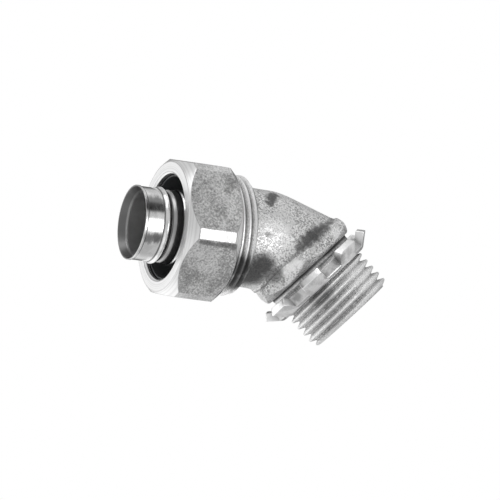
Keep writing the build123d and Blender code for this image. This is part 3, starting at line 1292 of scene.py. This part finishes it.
@dataclass
class Ferrule:
    """The drawn steel tube that the conduit is screwed on, with ridges rolled into its wall.

    Mouth_shade says how much painted shade the mouth gets at some rings, counted from where the lip's
    rounding starts.
    Shank_gap is the distance from the first ridge to the shank, which is painted darker, as shade inside
    the nut, and ends at the last ridge.
    """

    radius: float = 7.85
    bore: float = 7.05
    tip: float = 35.7
    rim_height: float = 0.15
    rim_width: float = 0.5
    foot: float = 19.42
    flange_radius: float = 10.8
    flange_thickness: float = 1.0
    ridges: tuple[float, ...] = (26.2, 30.5)
    ridge_height: float = 0.4
    ridge_half: float = 0.25
    ridge_slope: float = 0.6
    groove_depth: float = 0.35
    groove_width: float = 0.35
    lip: float = 0.15
    flare: float = 1.8
    flange_rounding: float = 0.2
    flange_fillet: float = 0.3
    slope_rounding: float = 0.25
    groove_rounding: float = 0.14
    ridge_rounding: float = 0.2
    rim_rounding: tuple[float, float, float] = (0.12, 0.1, 0.12)
    lip_rounding: float = 0.08
    flare_rounding: float = 0.3
    # painted shade inside the mouth
    mouth_shade: tuple[tuple[int, float], ...] = ((-4, 0.6), (0, 0.95), (8, 0.95), (12, 0.0))
    shank_gap: float = 1.0
    columns: int = 200
    finish: Finish = field(default_factory=BrightSteel)

    def outline(self) -> list[tuple[float, float, float]]:
        """Lists the profile's corners from the foot up the outside to the tip, and in to the bore.

        Returns:
            Height, radius and rounding of each corner. The last two are the lip's and the flare's.
        """
        top = self.foot + self.flange_thickness
        corners = [
            (self.foot, self.bore, 0.0),
            (self.foot, self.flange_radius, self.flange_rounding),
            (top, self.flange_radius, self.flange_rounding),
            (top, self.radius, self.flange_fillet),
        ]
        for ridge in self.ridges:
            groove = ridge - self.ridge_half - self.ridge_slope
            corners += [
                (groove - self.groove_width - self.ridge_slope, self.radius, self.slope_rounding),
                (groove - self.groove_width, self.radius - self.groove_depth, self.groove_rounding),
                (groove, self.radius - self.groove_depth, self.groove_rounding),
                (ridge - self.ridge_half, self.radius + self.ridge_height, self.ridge_rounding),
                (ridge + self.ridge_half, self.radius + self.ridge_height, self.ridge_rounding),
                (ridge + self.ridge_half + self.ridge_slope, self.radius, self.slope_rounding),
            ]
        rim_foot, rim_top, rim_end = self.rim_rounding
        corners += [
            (self.tip - self.rim_width - self.rim_height, self.radius, rim_foot),
            (self.tip - self.rim_width, self.radius + self.rim_height, rim_top),
            (self.tip, self.radius + self.rim_height, rim_end),
            (self.tip, self.radius - self.lip, self.lip_rounding),
            (self.tip - self.flare, self.bore, self.flare_rounding),
        ]
        return corners

    def build(self) -> bpy.types.Object:
        """Turns the outline around the leg and closes it along the bore.

        From the lip on, the wall is inside. Between the two ridges it is marked as cut, as a rougher shank
        that the finish paints darker as shade.

        Returns:
            The piece, riding on the casting.
        """
        angles = around(self.columns)
        outline = self.outline() + [(self.foot, self.bore, 0.0)]
        lip = len(outline) - 3
        corners = [LEG.place(height, radius, angles) for height, radius, _ in outline]
        band = ease(corners, [size for *_, size in outline], steps=5)
        within = band.station > lip - 0.5
        ring = np.arange(len(band.points))[:, None] - np.argmax(within)
        band.inside = np.where(within, 1.0, 0.0)
        # painted shade inside the mouth
        band.shade = np.maximum(band.shade, np.interp(ring, *zip(*self.mouth_shade), left=0.0))
        height = (band.points - np.array(LEG.origin)) @ np.array(LEG.along)
        shank_start, shank_end = self.ridges[0] + self.shank_gap, self.ridges[-1] - self.ridge_half
        band.cut = np.where((height > shank_start) & (height < shank_end), 1.0, 0.0)
        piece = sew("ferrule_tube", [band])
        self.finish.dress(piece)
        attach(piece, "casting")
        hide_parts("ferrule")
        return piece


@dataclass
class GlandNut:
    """The compression nut, a hexagonal bar turned at both ends and bored for the ring and the thread.

    Bar_rounding is that of the bar before its corners are turned off at bar_radius, and edge_step the
    angle to the columns on each side of where a flat meets them. Corner_drawn is how far those corners
    keep the look of drawn bar, and edge_shade the painted shade along a flat's front edge. A column is
    on a flat where the bar is more than flat_margin inside bar_radius.
    """

    start: float = 16.2
    end: float = 28.5
    flat: float = 14.3
    bar_radius: float = 15.9
    front_radius: float = 13.95
    rear_radius: float = 14.2
    chamfer_slope: float = tan(radians(47))
    mouth: float = 11.35
    mouth_chamfer: float = 0.4
    lip: float = 27.48
    pocket_end: float = 25.58
    pocket: float = 12.45
    thread_end: float = 23.4
    thread_radius: float = 13.05
    thread_depth: float = 0.62
    thread_runout: float = 0.5
    thread_phase: float = 0.1
    relief: float = 0.4
    pitch: float = 1.411
    corner_turn: float = radians(3.3)
    bar_rounding: float = 0.01
    flat_margin: float = 0.01
    edge_step: float = 0.012
    corner_drawn: float = 0.65
    edge_shade: float = 0.3
    outer_rounding: tuple[float, ...] = (0, 0.12, 0.14, 0.14, 0.16, 0.12, 0.1, 0)
    inner_rounding: tuple[float, ...] = (0, 0.1, 0.1, 0)
    sharp_angle: float = 20
    columns: int = 228
    finish: Finish = field(default_factory=BarZinc)

    def bar(self, angles: np.ndarray) -> np.ndarray:
        """Returns the bar's radius: the hexagon's, but no more than that of the turned corners."""
        return np.minimum(hexagon(angles, self.flat, self.corner_turn, self.bar_rounding), self.bar_radius)

    def edges(self) -> list[float]:
        """Lists the angles where the flats meet the turned corners, each with two close neighbours.

        They lie acos(flat / bar_radius) to each side of the flat's middle.

        Returns:
            The angles.
        """
        half = np.arccos(self.flat / self.bar_radius)
        middles = [self.corner_turn + pi / 6 + side * pi / 3 for side in range(6)]
        steps = (-self.edge_step, 0, self.edge_step)
        return [middle + way * (half + step) for middle in middles for way in (-1, 1) for step in steps]

    def build(self) -> bpy.types.Object:
        """Sews the nut and dresses it.

        The chamfers' rings follow the curves where the turned cones leave the flats, at a height of
        (bar's radius - cone's radius) * slope from the nut's end, so these curves stay crisp.

        Returns:
            The piece, riding on the nut.
        """
        angles = around(self.columns, self.edges())
        bar = self.bar(angles)
        rear = self.start + (bar - self.rear_radius) * self.chamfer_slope
        front = self.end - (bar - self.front_radius) * self.chamfer_slope
        thread = Thread(
            radius=self.thread_radius,
            depth=-self.thread_depth,
            pitch=self.pitch,
            start=self.start + self.relief,
            end=self.thread_end,
            start_runout=self.thread_runout,
            end_runout=self.thread_runout,
            phase=self.thread_phase,
        )
        outer = ease(
            [
                LEG.place(self.start, self.thread_radius + self.relief, angles),
                LEG.place(self.start, self.rear_radius, angles),
                LEG.place(rear, bar, angles),
                LEG.place(front, bar, angles),
                LEG.place(self.end, self.front_radius, angles),
                LEG.place(self.end, self.mouth + self.mouth_chamfer, angles),
                LEG.place(self.end - self.mouth_chamfer, self.mouth, angles),
                LEG.place(self.lip, self.mouth, angles),
            ],
            self.outer_rounding,
            steps=4,
        )
        on_side = (outer.station > 2) & (outer.station < 3)
        on_flat = on_side & (bar < self.bar_radius - self.flat_margin)
        outer.cut = 1.0 - np.where(on_flat, 1.0, self.corner_drawn * on_side)
        # painted shade, darker towards a flat's front edge
        outer.shade = np.maximum(outer.shade, self.edge_shade * (on_flat & (outer.station > 2.5)))
        inner = ease(
            [
                LEG.place(self.lip, self.mouth, angles),
                LEG.place(self.pocket_end, self.pocket, angles),
                LEG.place(self.thread_end, self.pocket, angles),
                LEG.place(self.thread_end, self.thread_radius, angles),
            ],
            self.inner_rounding,
            steps=3,
            cut=1.0,
            inside=1.0,
        )
        tapped = thread.band(LEG, angles, cut=1.0, inside=1.0).reversed()
        foot = [
            LEG.place(self.start + self.relief, self.thread_radius, angles),
            LEG.place(self.start, self.thread_radius + self.relief, angles),
        ]
        closing = Band(np.stack(foot), cut=1.0)
        piece = sew("gland_nut_hexagon", [outer, inner, tapped, closing], self.sharp_angle)
        self.finish.dress(piece)
        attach(piece, "nut")
        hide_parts("gland_nut")
        return piece


@dataclass
class SealingRing:
    """The nylon ring that the nut wedges into the collar."""

    bore: float = 10.85
    nose: float = 11.3
    radius: float = 12.3
    start: float = 22.307
    end: float = 27.307
    bevel: float = 1.732
    nose_rounding: float = 0.15
    side_rounding: float = 0.3
    columns: int = 160
    finish: Finish = field(default_factory=DarkNylon)

    def build(self) -> bpy.types.Object:
        """Turns the bevelled section around the leg.

        Returns:
            The piece, riding on the ring.
        """
        angles = around(self.columns)
        section = [
            (self.start, self.bore, 0.0),
            (self.start, self.nose, self.nose_rounding),
            (self.start + self.bevel, self.radius, self.side_rounding),
            (self.end - self.bevel, self.radius, self.side_rounding),
            (self.end, self.nose, self.nose_rounding),
            (self.end, self.bore, self.nose_rounding),
            (self.start, self.bore, 0.0),
        ]
        corners = [LEG.place(height, radius, angles) for height, radius, _ in section]
        piece = sew("sealing_ring_nylon", [ease(corners, [size for *_, size in section])])
        self.finish.dress(piece)
        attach(piece, "ring")
        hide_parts("sealing_ring")
        return piece


@dataclass
class Locknut:
    """The stamped locknut: a dished ring whose lugs lean towards the flange.

    Side_columns are the distances in from a lug's side of the columns on its rounding, as shares of
    side_rounding. Lug_columns and slot_columns count the others, and lug_inset keeps those on the lug off
    its sides.
    """

    bore: float = 10.5
    bend: float = 11.5
    root: float = 12.2
    tip: float = 14.5
    near: float = -3.0
    far: float = -4.8
    lean: float = radians(40)
    lug_half: float = 2.7
    lugs: int = 8
    first_lug: float = radians(51)
    side_rounding: float = 0.16
    side_columns: tuple[float, ...] = (1.0, 0.6, 0.25, 0.0)
    lug_columns: int = 9
    lug_inset: float = 1.5
    slot_columns: int = 7
    rounding: tuple[float, ...] = (0, 0.5, 0.22, 0.22, 0.4, 0.2, 0)
    sharp_angle: float = 40
    finish: Finish = field(default_factory=StampedZinc)

    def columns(self) -> tuple[np.ndarray, np.ndarray, np.ndarray]:
        """Lays out the columns of one lug and the slot after it, for every lug.

        Returns:
            For each column its lug's angle, its place across the lug from -1 to 1 or across the slot from
            0 to 1, and whether it is on the lug.
        """
        soft = self.side_rounding / self.lug_half
        edge = 1 - soft * np.array(self.side_columns)
        middle = np.linspace(-1, 1, self.lug_columns + 2)[1:-1] * (1 - soft * self.lug_inset)
        across = np.concatenate([-edge[::-1], middle, edge])
        slot = np.linspace(0, 1, self.slot_columns)
        one = np.concatenate([across, slot])
        on_lug = np.concatenate([np.ones(len(across), bool), np.zeros(len(slot), bool)])
        centres = self.first_lug + np.arange(self.lugs) * TURN / self.lugs
        place = np.concatenate([np.tile(one, self.lugs), one[:1]])
        lug = np.concatenate([np.repeat(centres, len(one)), [centres[0] + TURN]])
        return lug, place, np.concatenate([np.tile(on_lug, self.lugs), on_lug[:1]])

    def ring(self, radius: np.ndarray, height: np.ndarray) -> np.ndarray:
        """Places one corner of the section in every column.

        On a lug the angle is the lug's + asin(lug_half * place / radius), which keeps its sides parallel.
        In a slot it goes evenly from one lug's side to the next lug's.

        Args:
            radius: Radius in each column.
            height: Height in each column.

        Returns:
            The ring of points.
        """
        lug, place, on_lug = self.columns()
        radius = np.broadcast_to(np.asarray(radius, float), lug.shape)
        side = np.arcsin(self.lug_half / np.minimum(radius, self.root))
        in_slot = side + (TURN / self.lugs - 2 * side) * place
        on_its_lug = np.arcsin(np.clip(self.lug_half * place / radius, -1, 1))
        return HUB.place(height, radius, lug + np.where(on_lug, on_its_lug, in_slot))

    def build(self) -> bpy.types.Object:
        """Sews the ring with its lugs and dresses it.

        A lug is bent up by the lean, at bend along the underside and at inner_bend along the top, and its
        rounded sides draw it in by side_rounding * soft^2, where soft rises from 0 to 1 at the side. In a
        slot the profile stops at the root's radius.

        Returns:
            The piece, riding on the locknut.
        """
        lug, place, on_lug = self.columns()
        thickness = self.near - self.far
        reach = (self.tip - self.bend) * tan(self.lean)
        top = (self.tip - thickness * sin(self.lean), self.far + reach + thickness * cos(self.lean))
        inner_bend = self.bend - thickness * sin(self.lean) / 2
        slope = (top[1] - self.near) / (top[0] - inner_bend)
        soft = np.clip((np.abs(place) - 1) * self.lug_half / self.side_rounding + 1, 0, 1)
        inset = np.where(on_lug, self.side_rounding * soft**2, 0)
        tip = np.where(on_lug, self.tip - inset, self.root)
        under = self.far + (tip - self.bend) * tan(self.lean) + inset
        over_radius = np.where(on_lug, top[0] - inset, self.root)
        over = self.near + (over_radius - inner_bend) * slope - inset
        corners = [
            self.ring(self.bore, self.far),
            self.ring(self.bend, self.far),
            self.ring(tip, under),
            self.ring(over_radius, over),
            self.ring(inner_bend, self.near),
            self.ring(self.bore, self.near),
            self.ring(self.bore, self.far),
        ]
        band = ease(corners, self.rounding, steps=4)
        tip_face = (band.station >= 2) & (band.station <= 3)
        bent_up = (band.station > 1) & (band.station < 4)
        band.cut = np.where(tip_face & on_lug, 1.0, 0.0)
        # painted shade in the slots between the lugs
        band.shade = np.maximum(band.shade, bent_up & ~on_lug)
        piece = sew("locknut_ring", [band], self.sharp_angle)
        self.finish.dress(piece)
        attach(piece, "lock")
        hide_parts("locknut")
        return piece


# Studio


@dataclass(frozen=True)
class Viewpoint:
    """The camera at the photograph's viewing angle.

    Right, up and back are the picture's own directions. Lengths are in millimetres, far_end is in metres.
    """

    target: tuple[float, float, float] = (5.549, -3.675, 11.275)
    right: tuple[float, float, float] = (-0.6147, 0.4071, -0.6756)
    up: tuple[float, float, float] = (-0.5633, 0.3730, 0.7373)
    back: tuple[float, float, float] = (0.5521, 0.8338, 0.0)
    distance: float = 953.3
    lens: float = 320.0
    sensor: float = 36.0
    far_end: float = 20.0

    def toward(self, right: float, up: float, back: float) -> Vector:
        """Returns a direction given as the photograph's right, up and towards the viewer."""
        return Vector(self.right) * right + Vector(self.up) * up + Vector(self.back) * back

    def build(self) -> bpy.types.Object:
        """Makes the camera and the scene's view settings.

        Returns:
            The camera.
        """
        data = bpy.data.cameras.new("photo_view")
        data.lens = self.lens
        data.sensor_width = self.sensor
        data.clip_end = self.far_end
        camera = bpy.data.objects.new("photo_view", data)
        bpy.context.scene.collection.objects.link(camera)
        turn = Matrix((self.right, self.up, self.back)).transposed().to_4x4()
        place = (Vector(self.target) + Vector(self.back) * self.distance) * MM
        camera.matrix_world = Matrix.Translation(place) @ turn
        bpy.context.scene.camera = camera
        bpy.context.scene.view_settings.view_transform = "Standard"
        return camera


@dataclass(frozen=True)
class Lamp:
    """One soft lamp, placed by a direction in the photograph, with lengths in metres and power in watts."""

    name: str
    direction: tuple[float, float, float]
    distance: float
    size: float
    power: float

    def build(self, view: Viewpoint) -> bpy.types.Object:
        """Makes the lamp.

        Args:
            view: The viewpoint that the direction is given in.

        Returns:
            The lamp, turned to the part.
        """
        data = bpy.data.lights.new(self.name, "AREA")
        data.shape = "DISK"
        data.size = self.size
        data.energy = self.power
        lamp = bpy.data.objects.new(self.name, data)
        bpy.context.scene.collection.objects.link(lamp)
        way = view.toward(*self.direction).normalized()
        lamp.location = Vector(view.target) * MM + way * self.distance
        lamp.rotation_euler = way.to_track_quat("Z", "Y").to_euler()
        return lamp


@dataclass(frozen=True)
class Glow:
    """A soft patch of the surround that the metal mirrors, placed by a direction in the photograph."""

    direction: tuple[float, float, float]
    core: float
    edge: float
    strength: float

    def light(self, tree: Tree, way: Socket) -> Socket:
        """Gives the patch's light: its strength inside the core, falling to nought at the edge.

        Core and edge are angles in degrees between the direction and the patch's own, compared by cosine.

        Args:
            tree: The world's nodes.
            way: The direction that is looked in.

        Returns:
            The light, negative for a dark patch.
        """
        ends = [way, tuple(VIEW.toward(*self.direction).normalized())]
        lean = tree.add("ShaderNodeVectorMath", {"operation": "DOT_PRODUCT"}, ends, "Value")
        return self.strength * tree.between(lean, cos(radians(self.edge)), cos(radians(self.core)))


@dataclass(frozen=True)
class Studio:
    """A pale floor, a white surround with soft panels that the metal mirrors, and a few soft lamps.

    Surround lights matt surfaces, and mirrored is what metal sees between the panels. Floor_fade is in
    millimetres from the origin, floor_graze in cosines of the angle from the floor's normal, and
    floor_radius in metres.
    """

    floor_height: float = -13.72
    floor_radius: float = 1.6
    floor_sides: int = 64
    floor_level: float = 0.9
    floor_lift: float = 0.16
    floor_fade: tuple[float, float] = (25.0, 85.0)
    floor_graze: tuple[float, float] = (0.03, 0.08)
    surround: float = 0.7
    mirrored: float = 0.60
    darkest: float = 0.04
    glows: tuple[Glow, ...] = (
        Glow((-0.71, 0.10, -0.70), 20, 50, 0.20),
        Glow((-0.60, -0.56, -0.56), 22, 46, 0.55),
        Glow((0.71, -0.10, 0.70), 9, 24, 1.10),
        Glow((0.40, 0.85, -0.10), 10, 40, 0.20),
        Glow((-0.55, -0.55, 0.62), 10, 45, 0.30),
        Glow((0.60, 0.74, 0.32), 8, 20, -0.58),
        Glow((0.55, -0.67, 0.50), 4, 12, -0.10),
        Glow((0.30, -0.90, 0.20), 15, 50, -0.10),
        Glow((0.0, 0.0, -1.0), 14, 44, -0.55),
    )
    lamps: tuple[Lamp, ...] = (
        Lamp("key", (0.74, -0.08, 0.68), 0.7, 0.34, 0.85),
        Lamp("top", (-0.25, 0.95, 0.25), 0.7, 0.5, 0.9),
        Lamp("left", (-0.95, 0.1, -0.1), 0.7, 0.6, 1.0),
    )

    def world(self) -> None:
        """Lights the surround: white to the camera, even to matt surfaces, and with its panels to metal.

        Metal sees the mirrored level plus the light of every panel, and no less than the darkest level.
        """
        world = bpy.data.worlds.new("surround")
        world.use_nodes = True
        bpy.context.scene.world = world
        tree = Tree(world.node_tree)
        rays = ("Camera", "Glossy", "Transmission")
        camera, glossy, passing = (tree.add("ShaderNodeLightPath", output=f"Is {ray} Ray") for ray in rays)
        seen = tree.add("ShaderNodeMath", {"operation": "MAXIMUM"}, [camera, passing])
        way = tree.add("ShaderNodeTexCoord", output="Generated")
        panels = self.mirrored + sum(glow.light(tree, way) for glow in self.glows)
        panels = tree.add("ShaderNodeMath", {"operation": "MAXIMUM"}, [panels, self.darkest])
        soft, mirrored, white = (
            tree.add("ShaderNodeBackground", inputs={"Color": grey(1.0), "Strength": strength})
            for strength in (self.surround, panels, 1.0)
        )
        surface = tree.add("ShaderNodeMixShader", inputs=[glossy, soft, mirrored])
        surface = tree.add("ShaderNodeMixShader", inputs=[seen, surface, white])
        tree.add("ShaderNodeOutputWorld", inputs={"Surface": surface})

    def floor(self) -> bpy.types.Object:
        """Makes the pale floor, which shows only the part's shadow.

        To the camera it fades to white with the distance from the part, and where it is seen edge-on: the
        share of white is 1 - (mask of the tilt) * (1 - mask of the distance).

        Returns:
            The floor.
        """
        angles = np.linspace(0, TURN, self.floor_sides + 1)[:-1]
        rim = HUB.place(self.floor_height, self.floor_radius / MM, angles) * MM
        mesh = bpy.data.meshes.new("floor")
        mesh.from_pydata(rim.tolist(), [], [list(range(len(rim)))])
        floor = bpy.data.objects.new("floor", mesh)
        bpy.context.scene.collection.objects.link(floor)
        material = bpy.data.materials.new("pale_floor")
        material.use_nodes = True
        tree = Tree(material.node_tree)
        camera = tree.add("ShaderNodeLightPath", output="Is Camera Ray")
        matt = tree.add("ShaderNodeBsdfDiffuse", inputs={"Color": grey(self.floor_level)})
        lift, white = (
            tree.add("ShaderNodeEmission", inputs={"Color": grey(1.0), "Strength": strength})
            for strength in (self.floor_lift * camera, 1.0)
        )
        away = tree.add("ShaderNodeVectorMath", {"operation": "LENGTH"}, [tree.place()], "Value")
        sight = tree.add("ShaderNodeNewGeometry", output="Incoming")
        tilt = tree.add("ShaderNodeVectorMath", {"operation": "DOT_PRODUCT"}, [sight, HUB.along], "Value")
        shown = tree.between(tilt, *self.floor_graze) * (1 - tree.between(away, *self.floor_fade))
        near = tree.add("ShaderNodeAddShader", inputs=[matt, lift])
        surface = tree.add("ShaderNodeMixShader", inputs=[camera * (1 - shown), near, white])
        tree.add("ShaderNodeOutputMaterial", inputs={"Surface": surface})
        mesh.materials.append(material)
        floor.visible_glossy = False
        floor.visible_shadow = False
        return floor

    def build(self) -> None:
        """Makes the world, the floor and the lamps."""
        self.world()
        self.floor()
        for lamp in self.lamps:
            lamp.build(VIEW)


VIEW = Viewpoint()


def main() -> None:
    """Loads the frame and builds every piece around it."""
    logging.basicConfig(level=logging.INFO, format="%(message)s")
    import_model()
    VIEW.build()
    Studio().build()
    for part in (Casting(), Ferrule(), SealingRing(), GlandNut(), Locknut()):
        piece = part.build()
        LOG.info("built %s", piece.name)


if __name__ == "__main__":
    main()
